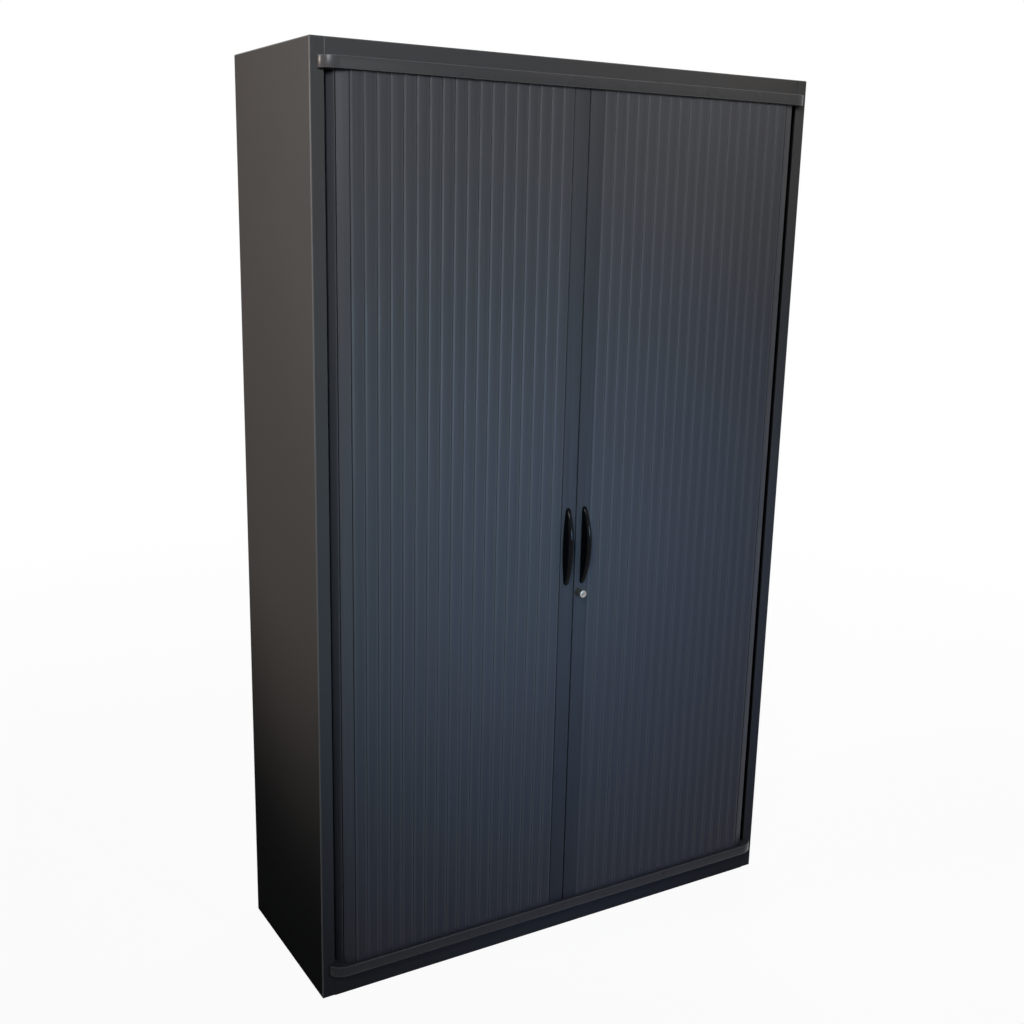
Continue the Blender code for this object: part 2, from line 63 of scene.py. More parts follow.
def clearSelection():
    if bpy.context.object and bpy.context.object.mode != "OBJECT":
        bpy.ops.object.mode_set(mode="OBJECT")
    bpy.ops.object.select_all(action="DESELECT")


def makeActive(piece):
    clearSelection()
    piece.select_set(True)
    bpy.context.view_layer.objects.active = piece


def named(name):
    piece = bpy.context.object
    piece.name = name
    piece.data.name = name
    bpy.ops.object.transform_apply(location=True, rotation=True, scale=True)
    return piece


def addBlock(name, low, high):
    clearSelection()
    size = [h - l for l, h in zip(low, high)]
    middle = [(l + h) / 2 for l, h in zip(low, high)]
    bpy.ops.mesh.primitive_cube_add(size=1, location=middle, scale=size)
    return named(name)


def addRound(name, centre, radius, length, axis="Z", steps=48):
    clearSelection()
    turn = {"X": (0, math.pi / 2, 0), "Y": (math.pi / 2, 0, 0), "Z": (0, 0, 0)}[axis]
    bpy.ops.mesh.primitive_cylinder_add(vertices=steps, radius=radius, depth=length, location=centre,
                                        rotation=turn)
    return named(name)


def pick(piece, kind, test):
    # leaves the piece in edit mode with what passes the test selected
    makeActive(piece)
    bpy.ops.object.mode_set(mode="EDIT")
    bpy.ops.mesh.select_mode(type=kind)
    bpy.ops.mesh.select_all(action="DESELECT")
    bpy.ops.object.mode_set(mode="OBJECT")
    mesh = piece.data
    if kind == "FACE":
        for face in mesh.polygons:
            face.select = bool(test(face.center, face.normal))
    elif kind == "EDGE":
        for edge in mesh.edges:
            edge.select = bool(test(mesh.vertices[edge.vertices[0]].co, mesh.vertices[edge.vertices[1]].co))
    else:
        for vertex in mesh.vertices:
            vertex.select = bool(test(vertex.co))
    bpy.ops.object.mode_set(mode="EDIT")


def backToObject():
    bpy.ops.object.mode_set(mode="OBJECT")


def tidyNormals(piece):
    makeActive(piece)
    bpy.ops.object.mode_set(mode="EDIT")
    bpy.ops.mesh.select_all(action="SELECT")
    bpy.ops.mesh.normals_make_consistent(inside=False)
    backToObject()


def thicken(piece, thickness):
    # gives a folded sheet its thickness, inwards
    makeActive(piece)
    step = piece.modifiers.new("sheet", "SOLIDIFY")
    step.thickness = thickness
    step.offset = -1
    step.use_even_offset = True
    bpy.ops.object.modifier_apply(modifier=step.name)


def softenEdges(piece, width, segments=2, angle=35):
    makeActive(piece)
    step = piece.modifiers.new("edges", "BEVEL")
    step.width = width
    step.segments = segments
    step.limit_method = "ANGLE"
    step.angle_limit = math.radians(angle)
    step.use_clamp_overlap = True
    step.miter_outer = "MITER_ARC"
    bpy.ops.object.modifier_apply(modifier=step.name)


def smooth(piece, angle=40):
    makeActive(piece)
    bpy.ops.object.shade_smooth_by_angle(angle=math.radians(angle))


def cutWith(piece, tool):
    makeActive(piece)
    step = piece.modifiers.new("cut", "BOOLEAN")
    step.operation = "DIFFERENCE"
    step.solver = "EXACT"
    step.object = tool
    bpy.ops.object.modifier_apply(modifier=step.name)
    bpy.data.objects.remove(tool, do_unlink=True)


def openEdges(piece):
    # a closed piece has two faces at every edge
    makeActive(piece)
    bpy.ops.object.mode_set(mode="EDIT")
    bpy.ops.mesh.select_mode(type="EDGE")
    bpy.ops.mesh.select_all(action="DESELECT")
    bpy.ops.mesh.select_non_manifold()
    backToObject()
    return sum(edge.select for edge in piece.data.edges)


def joinAll(name, pieces):
    clearSelection()
    for piece in pieces:
        piece.select_set(True)
    bpy.context.view_layer.objects.active = pieces[0]
    bpy.ops.object.join()
    return named(name)


def copyPiece(piece, name, move=(0, 0, 0)):
    makeActive(piece)
    bpy.ops.object.duplicate(linked=False)
    bpy.ops.transform.translate(value=move)
    return named(name)


def copyOfNode(node, name, weld=0.00001):
    # a CAD node's mesh is loose triangles: a copy is welded and its flats made whole
    source = frame["nodes"][node]
    makeActive(source)
    bpy.ops.object.duplicate(linked=False)
    piece = bpy.context.object
    piece.parent = None
    piece.name = name
    piece.data.name = name
    for key in list(piece.keys()):
        del piece[key]
    bpy.ops.object.mode_set(mode="EDIT")
    bpy.ops.mesh.select_all(action="SELECT")
    bpy.ops.mesh.remove_doubles(threshold=weld)
    bpy.ops.mesh.dissolve_limited(angle_limit=math.radians(1))
    backToObject()
    return piece


def paint(piece, material):
    piece.data.materials.clear()
    piece.data.materials.append(material)


def anyFold(centre, normal):
    return max(abs(c) for c in normal) < 0.995


def levelFold(centre, normal):
    # the rounded upper and lower edges of a piece whose ends are curved as well
    return 0.05 < abs(normal.z) < 0.995


def paintFoldHighlights(piece, material, test=anyFold):
    # rounded folds and noses get a second finish: its lighter colour is a painted highlight, its smoother,
    # glossier surface a real finish
    piece.data.materials.append(material)
    pick(piece, "FACE", test)
    piece.active_material_index = len(piece.data.materials) - 1
    bpy.ops.object.material_slot_assign()
    backToObject()


def fit(piece, material, slotName, *nodes, body=None, folds=None, foldTest=anyFold):
    # paints a piece, hangs it on its body and hides the CAD nodes that it stands for; given folds, it paints
    # a highlight on the rounded folds in a lighter finish
    paint(piece, material)
    if folds:
        paintFoldHighlights(piece, folds, foldTest)
    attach(piece, body or bodyOf[nodes[0]])
    if nodes:
        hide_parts(*nodes)
    return piece


# finishes

class Finish:
    # a small helper round one material's node tree
    def __init__(self, name):
        self.material = bpy.data.materials.new(name)
        self.material.use_nodes = True
        self.tree = self.material.node_tree
        self.shader = self.tree.nodes["Principled BSDF"]
        self.place = self.tree.nodes.new("ShaderNodeTexCoord").outputs["Object"]

    def link(self, a, b):
        self.tree.links.new(a, b)

    def mapped(self, scale=(1, 1, 1), location=(0, 0, 0)):
        node = self.tree.nodes.new("ShaderNodeMapping")
        node.inputs["Scale"].default_value = scale
        node.inputs["Location"].default_value = location
        self.link(self.place, node.inputs["Vector"])
        return node.outputs["Vector"]

    def noise(self, scale, detail=3, rough=0.5, vector=None):
        node = self.tree.nodes.new("ShaderNodeTexNoise")
        node.inputs["Scale"].default_value = scale
        node.inputs["Detail"].default_value = detail
        node.inputs["Roughness"].default_value = rough
        self.link(vector or self.place, node.inputs["Vector"])
        return node.outputs["Fac"]

    def ranged(self, value, low, high, fromLow=0.3, fromHigh=0.7):
        node = self.tree.nodes.new("ShaderNodeMapRange")
        node.inputs["From Min"].default_value = fromLow
        node.inputs["From Max"].default_value = fromHigh
        node.inputs["To Min"].default_value = low
        node.inputs["To Max"].default_value = high
        self.link(value, node.inputs["Value"])
        return node.outputs["Result"]

    def mixed(self, factor, first, second):
        node = self.tree.nodes.new("ShaderNodeMix")
        node.data_type = "RGBA"
        self.link(factor, node.inputs["Factor"])
        for socket, colour in ((node.inputs[6], first), (node.inputs[7], second)):
            if isinstance(colour, tuple):
                socket.default_value = (*colour, 1)
            else:
                self.link(colour, socket)
        return node.outputs[2]

    def bump(self, height, strength, distance, below=None):
        node = self.tree.nodes.new("ShaderNodeBump")
        node.inputs["Strength"].default_value = strength
        node.inputs["Distance"].default_value = distance
        self.link(height, node.inputs["Height"])
        if below:
            self.link(below, node.inputs["Normal"])
        return node.outputs["Normal"]


def shifted(colour, amount):
    return tuple(max(0, c * amount) for c in colour)


def powderCoat(name, colour, roughness, specular, grain=900, depth=0.00012, mottle=0.12, dust=0.0):
    f = Finish(name)
    cloud = f.ranged(f.noise(2.2, 4), 0, 1)
    base = f.mixed(cloud, shifted(colour, 1 - mottle), shifted(colour, 1 + mottle))
    speck = f.ranged(f.noise(grain * 0.9, 2), 0, 1)
    fine = f.mixed(speck, shifted(colour, 0.88), shifted(colour, 1.12))
    blend = f.tree.nodes.new("ShaderNodeMix")
    blend.data_type = "RGBA"
    blend.inputs["Factor"].default_value = 0.5
    f.link(base, blend.inputs[6])
    f.link(fine, blend.inputs[7])
    shade = blend.outputs[2]
    if dust:
        settled = f.ranged(f.noise(14, 5, 0.7), 0, dust, 0.5, 0.8)
        shade = f.mixed(settled, shade, (0.22, 0.21, 0.2))
    f.link(shade, f.shader.inputs["Base Color"])
    f.link(f.ranged(f.noise(7, 4, 0.6), roughness - 0.05, roughness + 0.06), f.shader.inputs["Roughness"])
    peel = f.bump(f.noise(grain * 0.22, 2), 0.18, depth * 2)
    f.link(f.bump(f.noise(grain, 2, 0.4), 0.35, depth, peel), f.shader.inputs["Normal"])
    f.shader.inputs["Specular IOR Level"].default_value = specular
    return f


def mouldedPlastic(name, colour, roughness, specular, streak=0.1, stretch=(60, 60, 1.2)):
    f = Finish(name)
    drawn = f.ranged(f.noise(3, 3, 0.6, f.mapped(stretch)), 0, 1)
    base = f.mixed(drawn, shifted(colour, 1 - streak), shifted(colour, 1 + streak))
    f.link(base, f.shader.inputs["Base Color"])
    f.link(f.ranged(f.noise(9, 4, 0.6), roughness - 0.05, roughness + 0.07), f.shader.inputs["Roughness"])
    f.link(f.bump(f.noise(1400, 2, 0.5), 0.3, 0.00008), f.shader.inputs["Normal"])
    f.shader.inputs["Specular IOR Level"].default_value = specular
    return f


def platedMetal(name, colour, roughness, brushed=(1, 1, 1), wear=0.15):
    f = Finish(name)
    dull = f.ranged(f.noise(160, 4, 0.7), 0, 1)
    f.link(f.mixed(dull, shifted(colour, 1 - wear), colour), f.shader.inputs["Base Color"])
    f.link(f.ranged(f.noise(420, 3, 0.6, f.mapped(brushed)), roughness - 0.07, roughness + 0.1),
           f.shader.inputs["Roughness"])
    f.link(f.bump(f.noise(2600, 2, 0.5, f.mapped(brushed)), 0.2, 0.00004), f.shader.inputs["Normal"])
    f.shader.inputs["Metallic"].default_value = 1
    return f


finishes = {
    "charcoal": powderCoat("charcoalCoat", (0.049, 0.0485, 0.0485), 0.55, 0, mottle=0.08).material,
    # the Fold and Nose finishes are lighter than their flats: a painted highlight along rounded folds, edges
    # and slat noses; their lower roughness and higher specular are a real glossier finish
    "charcoalFold": powderCoat("charcoalCoatFoldPaintedHighlight", (0.057, 0.0565, 0.0565), 0.42, 0.16,
                               depth=0.00005).material,
    "rail": powderCoat("railCoat", (0.038, 0.0375, 0.039), 0.27, 0.11, depth=0.00006, mottle=0.06).material,
    # lighter rail edges: painted highlight
    "railFoldPaintedHighlight": powderCoat("railCoatFoldPaintedHighlight", (0.055, 0.056, 0.059), 0.3, 0.3, depth=0.00005).material,
    "interior": powderCoat("interiorCoat", (0.11, 0.112, 0.118), 0.55, 0.25, mottle=0.05).material,
    # lighter interior folds: painted highlight
    "interiorFold": powderCoat("interiorCoatFoldPaintedHighlight", (0.12, 0.122, 0.128), 0.4, 0.4, depth=0.00005).material,
    "track": mouldedPlastic("trackPlastic", (0.042, 0.042, 0.043), 0.5, 0.04, streak=0.1).material,
    "slat": mouldedPlastic("slatPlastic", (0.044, 0.0455, 0.0505), 0.4, 0.07, streak=0.06).material,
    # lighter slat noses: painted highlight for the bright lines at the joints
    "slatNosePaintedHighlight": mouldedPlastic("slatPlasticNosePaintedHighlight", (0.047, 0.0485, 0.053), 0.34, 0.14, streak=0.04).material,
    "stile": mouldedPlastic("stilePlastic", (0.038, 0.040, 0.0445), 0.42, 0.05, streak=0.05).material,
    "zinc": platedMetal("zincPlate", (0.45, 0.46, 0.48), 0.38).material,
    "nickel": platedMetal("nickelPlate", (0.33, 0.31, 0.265), 0.36).material,
    # near black: painted shade for the inside of the key slot
    "keySlotPaintedShade": mouldedPlastic("keySlotShade", (0.012, 0.011, 0.01), 0.7, 0.1).material,
    "rubber": mouldedPlastic("footRubber", (0.012, 0.012, 0.012), 0.8, 0.15, stretch=(20, 20, 20)).material,
}

glossBlack = Finish("glossBlackPlastic")
glossSmear = glossBlack.ranged(glossBlack.noise(70, 4, 0.6), 0, 1)
glossBlack.link(glossBlack.mixed(glossSmear, (0.001, 0.001, 0.0014), (0.002, 0.002, 0.003)),
                glossBlack.shader.inputs["Base Color"])
glossBlack.link(glossBlack.ranged(glossBlack.noise(120, 4, 0.7), 0.05, 0.11),
                glossBlack.shader.inputs["Roughness"])
glossBlack.shader.inputs["Specular IOR Level"].default_value = 0.07
glossBlack.link(glossBlack.bump(glossBlack.noise(90, 2, 0.5), 0.02, 0.0001),
                glossBlack.shader.inputs["Normal"])
finishes["gloss"] = glossBlack.material
print("finishes mixed,", len(finishes))


# carcass: folded steel sheet

sheetMetal = {"thickness": 0.0012, "foldRadius": 0.0024, "foldSteps": 4}


def foldedTray(name, low, high, openSide, radius=None):
    # a block without the face that looks along openSide, its folds rounded, then given its thickness
    tray = addBlock(name, low, high)
    openWay = Vector(openSide)
    pick(tray, "FACE", lambda centre, normal: normal.dot(openWay) > 0.9)
    bpy.ops.mesh.delete(type="FACE")
    backToObject()
    lip = (max(c.dot(openWay) for c in (v.co for v in tray.data.vertices)))
    pick(tray, "EDGE", lambda a, b: not (a.dot(openWay) > lip - 1e-6 and b.dot(openWay) > lip - 1e-6))
    bpy.ops.mesh.bevel(offset=radius or sheetMetal["foldRadius"], segments=sheetMetal["foldSteps"],
                       affect="EDGES")
    backToObject()
    thicken(tray, sheetMetal["thickness"])
    smooth(tray)
    return tray


def trayFor(node, name, openSide, finish, slotName):
    low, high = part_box(node)
    # the folds take the lighter Fold finish: a painted highlight
    return fit(foldedTray(name, low, high, openSide), finishes[finish], slotName, node,
               folds=finishes[finish + "Fold"])


trayFor("left_side_panel", "leftSidePanel", (1, 0, 0), "charcoal", "charcoal_coat")
trayFor("right_side_panel", "rightSidePanel", (-1, 0, 0), "charcoal", "charcoal_coat")
trayFor("top_panel", "topPanel", (0, 0, -1), "charcoal", "charcoal_coat")
trayFor("top_stiffener", "topStiffener", (0, 0, 1), "interior", "interior_coat")
trayFor("floor_panel", "floorPan", (0, 0, -1), "interior", "interior_coat")
trayFor("ceiling_panel", "ceilingPan", (0, 0, 1), "interior", "interior_coat")

sheetPieces = [("back_panel", "backSheet", "charcoal", "charcoal_coat"),
               ("inner_back_panel", "innerBackSheet", "interior", "interior_coat")]
for node, name, finish, slotName in sheetPieces:
    low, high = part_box(node)
    plate = addBlock(name, low, high)
    softenEdges(plate, 0.0004, 2)
    smooth(plate)
    fit(plate, finishes[finish], slotName, node)

# the base keeps its four threaded bosses, taken over from the solid
base = copyOfNode("base_panel", "basePan")
softenEdges(base, 0.0005, 2, 60)
smooth(base)
fit(base, finishes["charcoal"], "charcoal_coat", "base_panel")
print("carcass folded")


# rails: proud of the front, with rounded ends

rail = {"endLength": 0.042, "endSteps": 64, "skin": 0.003, "edge": 0.0011}


def makeRail(node, name):
    low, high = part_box(node)
    backLine = high.y
    proud = backLine - low.y
    centre = high.x - rail["endLength"]
    clearSelection()
    bpy.ops.mesh.primitive_cylinder_add(vertices=rail["endSteps"], radius=1, depth=high.z - low.z,
                                        location=(0, backLine, (low.z + high.z) / 2),
                                        scale=(rail["endLength"], proud, 1), end_fill_type="NOTHING")
    strip = named(name)
    for side in (-1, 1):
        pick(strip, "VERT", lambda co: co.x * side > 1e-5)
        bpy.ops.transform.translate(value=(side * centre, 0, 0))
        backToObject()
    # only the front half of the ring stays
    pick(strip, "VERT", lambda co: co.y > backLine + 1e-5)
    bpy.ops.mesh.delete(type="VERT")
    backToObject()
    tidyNormals(strip)
    front = [face for face in strip.data.polygons if face.center.y < backLine - proud * 0.9]
    if front and front[0].normal.y > 0:
        makeActive(strip)
        bpy.ops.object.mode_set(mode="EDIT")
        bpy.ops.mesh.select_all(action="SELECT")
        bpy.ops.mesh.flip_normals()
        backToObject()
    thicken(strip, rail["skin"])
    softenEdges(strip, rail["edge"], 3, 60)
    smooth(strip)
    # the rounded upper and lower edges take the lighter rail fold finish: a painted highlight
    return fit(strip, finishes["rail"], "rail_coat", node,
               folds=finishes["railFoldPaintedHighlight"], foldTest=levelFold)


makeRail("top_rail", "topRail")
makeRail("bottom_rail", "bottomRail")

for node, name in (("top_track", "topTrack"), ("bottom_track", "bottomTrack")):
    moulding = copyOfNode(node, name)
    softenEdges(moulding, 0.0004, 2, 60)
    smooth(moulding)
    fit(moulding, finishes["track"], "track_plastic", node)
print("rails and tracks placed")


# curtains: upright slats with rounded edges

slat = {"perDoor": 18, "edge": 0.0016, "edgeSteps": 4, "joint": 0.00015, "crown": 0.0008, "crownCuts": 7,
        "keep": 0.0233}


def makeCurtain(side, word):
    first = [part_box(word + "_slats_%d" % number) for number in range(1, 10)]
    low = Vector((min(b[0].x for b in first), min(b[0].y for b in first), first[0][0].z))
    high = Vector((max(b[1].x for b in first), max(b[1].y for b in first), first[0][1].z))
    near = min(abs(low.x), abs(high.x))
    far = max(abs(low.x), abs(high.x))
    step = (far - near + 2 * slat["joint"]) / slat["perDoor"]
    lowX = low.x if side > 0 else high.x - step + 2 * slat["joint"]
    one = addBlock(word + "Curtain", (lowX, low.y + slat["crown"], low.z),
                   (lowX + step - 2 * slat["joint"], high.y, high.z))
    # the two front edges are rounded, and the face between them is crowned
    pick(one, "EDGE", lambda a, b: a.y < low.y + 0.001 and b.y < low.y + 0.001 and abs(a.z - b.z) > 1)
    bpy.ops.mesh.bevel(offset=slat["edge"], segments=slat["edgeSteps"], affect="EDGES")
    backToObject()
    middle = lowX + step / 2
    pick(one, "EDGE", lambda a, b: a.y < low.y + slat["crown"] + 1e-5 and b.y < low.y + slat["crown"] + 1e-5
         and abs(a.z - b.z) < 1e-5 and abs(a.x - b.x) > 0.01)
    bpy.ops.mesh.subdivide(number_cuts=slat["crownCuts"])
    backToObject()
    halfFace = step / 2 - slat["joint"] - slat["edge"]
    for cut in range(slat["crownCuts"]):
        across = 2 * (cut + 1) / (slat["crownCuts"] + 1) - 1
        place = middle - slat["joint"] + across * halfFace
        pick(one, "VERT", lambda co: co.y < low.y + slat["crown"] + 1e-5 and abs(co.x - place) < 1e-4)
        bpy.ops.transform.translate(value=(0, -slat["crown"] * (1 - across * across), 0))
        backToObject()
    makeActive(one)
    row = one.modifiers.new("row", "ARRAY")
    row.count = slat["perDoor"]
    row.use_relative_offset = False
    row.use_constant_offset = True
    row.constant_offset_displace = (side * step, 0, 0)
    bpy.ops.object.modifier_apply(modifier=row.name)
    tidyNormals(one)
    smooth(one, 50)
    # the rounded slat noses take the lighter nose finish: a painted highlight
    fit(one, finishes["slat"], "slat_plastic", *[word + "_slats_%d" % number for number in range(1, 10)],
        folds=finishes["slatNosePaintedHighlight"])
    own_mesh(one)
    return one


corner = {"gap": 0.0012, "thickness": 0.0058, "edge": 0.0012, "turn": 45}


def makeCorner(side, word):
    # two slats, an eighth of a turn apart, take the curtain round the corner and open a groove at each joint
    low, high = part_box(word + "_corner_slats")
    radius = high.x - low.x
    centre = (low.x if side > 0 else high.x, high.y, 0)
    half = math.radians(corner["turn"] / 2)
    front = centre[1] - radius * math.cos(half)
    wide = radius * math.sin(half) - corner["gap"]
    first = addBlock(word + "CornerSlats", (centre[0] - wide, front, low.z),
                     (centre[0] + wide, front + corner["thickness"], high.z))
    # its sides lean in towards the back, as far as the neighbour allows
    taper = 1 - corner["thickness"] * math.tan(half) / wide
    pick(first, "VERT", lambda co: co.y > front + 1e-5)
    bpy.ops.transform.resize(value=(taper, 1, 1), center_override=centre)
    backToObject()
    pick(first, "EDGE", lambda a, b: a.y < front + 1e-5 and b.y < front + 1e-5 and abs(a.z - b.z) > 1)
    bpy.ops.mesh.bevel(offset=corner["edge"], segments=slat["edgeSteps"], affect="EDGES")
    backToObject()
    second = copyPiece(first, word + "CornerSlatBehind")
    for piece, turns in ((first, 1), (second, 3)):
        pick(piece, "VERT", lambda co: True)
        bpy.ops.transform.rotate(value=-side * turns * half, orient_axis="Z", center_override=centre)
        backToObject()
    turned = joinAll(word + "CornerSlats", [first, second])
    tidyNormals(turned)
    smooth(turned, 50)
    # the rounded corner slat noses take the lighter nose finish: a painted highlight
    fit(turned, finishes["slat"], "slat_plastic", word + "_corner_slats",
        folds=finishes["slatNosePaintedHighlight"], foldTest=lambda at, normal: noseFace(at, normal, centre))


def noseFace(at, normal, centre):
    # a corner slat's rounded edges: they look neither straight out from the turn nor up, down or back
    if abs(normal.z) > 0.5:
        return False
    outward = math.atan2(normal.y, normal.x)
    steps = [math.radians(corner["turn"] * (number + 0.5)) for number in range(8)]
    off = min(abs((outward - step + math.pi) % (2 * math.pi) - math.pi) for step in steps)
    return off > math.radians(4) and math.hypot(at.x - centre[0], at.y - centre[1]) > 0.0305


def makeTail(side, word):
    # the first slats of the parked curtain, along the side
    low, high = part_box(word + "_tail_slats")
    step = (high.y - low.y) / 2
    one = addBlock(word + "TailSlats", (low.x, low.y, low.z), (high.x, low.y + step - slat["joint"], high.z))
    face = high.x if side > 0 else low.x
    pick(one, "EDGE", lambda a, b: abs(a.x - face) < 1e-5 and abs(b.x - face) < 1e-5 and abs(a.z - b.z) > 1)
    bpy.ops.mesh.bevel(offset=slat["edge"], segments=slat["edgeSteps"], affect="EDGES")
    backToObject()
    makeActive(one)
    row = one.modifiers.new("row", "ARRAY")
    row.count = 2
    row.use_relative_offset = False
    row.use_constant_offset = True
    row.constant_offset_displace = (0, step, 0)
    bpy.ops.object.modifier_apply(modifier=row.name)
    smooth(one, 50)
    fit(one, finishes["slat"], "slat_plastic", word + "_tail_slats")


stileEdge = {"seam": 0.0011, "round": 0.0008, "joint": 0.0005}


def makeStile(side, word):
    # a little is trimmed off along the seam, where the photo shows a dark line, and off the joint behind it
    stile = copyOfNode(word + "_stile", word + "Stile")
    low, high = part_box(word + "_stile")
    inner = min(abs(low.x), abs(high.x))
    outer = max(abs(low.x), abs(high.x))
    pick(stile, "VERT", lambda co: abs(abs(co.x) - inner) < 1e-4)
    bpy.ops.transform.translate(value=(side * stileEdge["seam"], 0, 0))
    backToObject()
    pick(stile, "VERT", lambda co: abs(abs(co.x) - outer) < 1e-4 and co.y < low.y + 0.009)
    bpy.ops.transform.translate(value=(-side * stileEdge["joint"], 0, 0))
    backToObject()
    softenEdges(stile, stileEdge["round"], 3, 60)
    smooth(stile, 50)
    fit(stile, finishes["stile"], "stile_plastic", word + "_stile")


for side, word in ((-1, "left"), (1, "right")):
    makeCurtain(side, word)
    makeCorner(side, word)
    makeTail(side, word)
    makeStile(side, word)
print("curtains hung")


# handles: glossy bows, solid down to the door

handle = {"cuts": 47, "around": 36, "endWidth": 0.011, "bulge": 0.0055, "tip": 0.07, "tipReach": 0.003,
          "nose": 0.75}


def makeHandle(side, word):
    # a half-round bar cut into rings, each drawn to the bow's width and reach at its height
    low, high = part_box(word + "_handle")
    door, reach = high.y, high.y - low.y
    half, level = (high.z - low.z) / 2, (high.z + low.z) / 2
    inner = min(abs(low.x), abs(high.x))
    start = 0.01
    bow = addRound(word + "Handle", (0, door, level), start, 2 * half, steps=handle["around"])
    pick(bow, "EDGE", lambda a, b: abs(a.z - b.z) > half)
    bpy.ops.mesh.subdivide(number_cuts=handle["cuts"])
    backToObject()
    pick(bow, "VERT", lambda co: co.y > door + 1e-5)
    bpy.ops.mesh.delete(type="VERT")
    backToObject()
    for ring in range(handle["cuts"] + 2):
        height = low.z + 2 * half * ring / (handle["cuts"] + 1)
        along = abs(height - level) / half
        swell = 1 - along * along
        taper = min(1, (1 - along) / handle["tip"]) ** 0.5
        width = (handle["endWidth"] + handle["bulge"] * swell) * (0.45 + 0.55 * taper)
        foot = handle["tipReach"] * (0.5 + 0.5 * taper)
        stand = min(reach, foot + (reach - handle["tipReach"]) * swell ** 0.85)
        middle = inner + (handle["endWidth"] + handle["bulge"] * swell) / 2
        nose = min(0.8 * stand, handle["nose"] * width)
        pick(bow, "VERT", lambda co: abs(co.z - height) < 1e-5)
        bpy.ops.transform.resize(value=(width / 2 / start, nose / start, 1),
                                 center_override=(0, door, height))
        bpy.ops.transform.translate(value=(side * middle, nose - stand, 0))
        backToObject()
    # the two long open edges are drawn back to the door, then the ends and the back are closed
    makeActive(bow)
    bpy.ops.object.mode_set(mode="EDIT")
    bpy.ops.mesh.select_mode(type="EDGE")
    bpy.ops.mesh.select_all(action="DESELECT")
    bpy.ops.mesh.select_non_manifold()
    backToObject()
    points = bow.data.vertices
    rims = [edge.select and abs(points[edge.vertices[0]].co.z - points[edge.vertices[1]].co.z) > 1e-4
            for edge in bow.data.edges]
    bpy.ops.object.mode_set(mode="EDIT")
    bpy.ops.mesh.select_all(action="DESELECT")
    backToObject()
    for edge, rim in zip(bow.data.edges, rims):
        edge.select = rim
    bpy.ops.object.mode_set(mode="EDIT")
    bpy.ops.mesh.extrude_edges_move()
    bpy.ops.transform.resize(value=(1, 0, 1), center_override=(0, door, 0))
    backToObject()
    for end in (low.z, high.z):
        pick(bow, "VERT", lambda co: abs(co.z - end) < 1e-5)
        bpy.ops.mesh.edge_face_add()
        backToObject()
    pick(bow, "VERT", lambda co: abs(co.y - door) < 1e-5)
    bpy.ops.mesh.edge_face_add()
    backToObject()
    tidyNormals(bow)
    smooth(bow, 60)
    print(bow.name, "open edges:", openEdges(bow))
    fit(bow, finishes["gloss"], "gloss_black", word + "_handle")


for side, word in ((-1, "left"), (1, "right")):
    makeHandle(side, word)
    for number in (1, 2):
        node = "%s_handle_screw_%d" % (word, number)
        screw = copyOfNode(node, "%sHandleScrew%d" % (word, number))
        softenEdges(screw, 0.0004, 2, 50)
        smooth(screw)
        fit(screw, finishes["zinc"], "zinc_steel", node)
print("handles fitted")


# lock

lockPieces = [("lock_housing", "lockBarrel", "nickel", "nickel", 0.0006),
              ("lock_plug", "lockPlug", "nickel", "nickel", 0.0003),
              ("lock_nut", "lockNut", "zinc", "zinc_steel", 0.0004),
              ("lock_hook", "lockHook", "zinc", "zinc_steel", 0.0004),
              ("lock_keeper", "lockKeeper", "zinc", "zinc_steel", 0.0004)]
keySlotTurn = 90
for node, name, finish, slotName, width in lockPieces:
    part = copyOfNode(node, name)
    softenEdges(part, width, 2, 50)
    smooth(part)
    fit(part, finishes[finish], slotName, node)
    if node == "lock_plug":
        # the key slot leans to the right, and its walls are painted near black: painted shade in the recess
        low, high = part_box(node)
        plugX, plugZ = (low.x + high.x) / 2, (low.z + high.z) / 2
        pick(part, "VERT", lambda co: True)
        bpy.ops.transform.rotate(value=math.radians(keySlotTurn), orient_axis="Y",
                                 center_override=(plugX, (low.y + high.y) / 2, plugZ))
        backToObject()
        part.data.materials.append(finishes["keySlotPaintedShade"])
        pick(part, "FACE", lambda centre, normal: low.y + 0.0004 < centre.y < low.y + 0.0065
             and math.hypot(centre.x - plugX, centre.z - plugZ) < 0.0045)
        part.active_material_index = 1
        bpy.ops.object.material_slot_assign()
        backToObject()
print("lock fitted")


# interior

linerSlot = {"perShelfStep": 11, "wide": 0.014, "high": 0.009, "inset": 0.0455, "underShelf": 0.0024}


def punchSlots(liner, node):
    # two columns of slots, so that a shelf can hang at other levels too; the shelves' own are among them
    low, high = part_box(node)
    shelfLow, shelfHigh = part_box("shelf_1")
    step = (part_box("shelf_2")[1].z - shelfHigh.z) / linerSlot["perShelfStep"]
    count = int((high.z - low.z) / step) - 1
    top = shelfHigh.z - linerSlot["underShelf"]
    top -= int((top - low.z - 0.02) / step) * step
    face = low.x if abs(low.x) > abs(high.x) else high.x
    for place in (shelfLow.y + linerSlot["inset"], shelfHigh.y - linerSlot["inset"]):
        punch = addBlock(liner.name + "Punch",
                         (face - 0.004, place - linerSlot["wide"] / 2, top - linerSlot["high"]),
                         (face + 0.004, place + linerSlot["wide"] / 2, top))
        makeActive(punch)
        row = punch.modifiers.new("row", "ARRAY")
        row.count = count
        row.use_relative_offset = False
        row.use_constant_offset = True
        row.constant_offset_displace = (0, 0, step)
        bpy.ops.object.modifier_apply(modifier=row.name)
        cutWith(liner, punch)


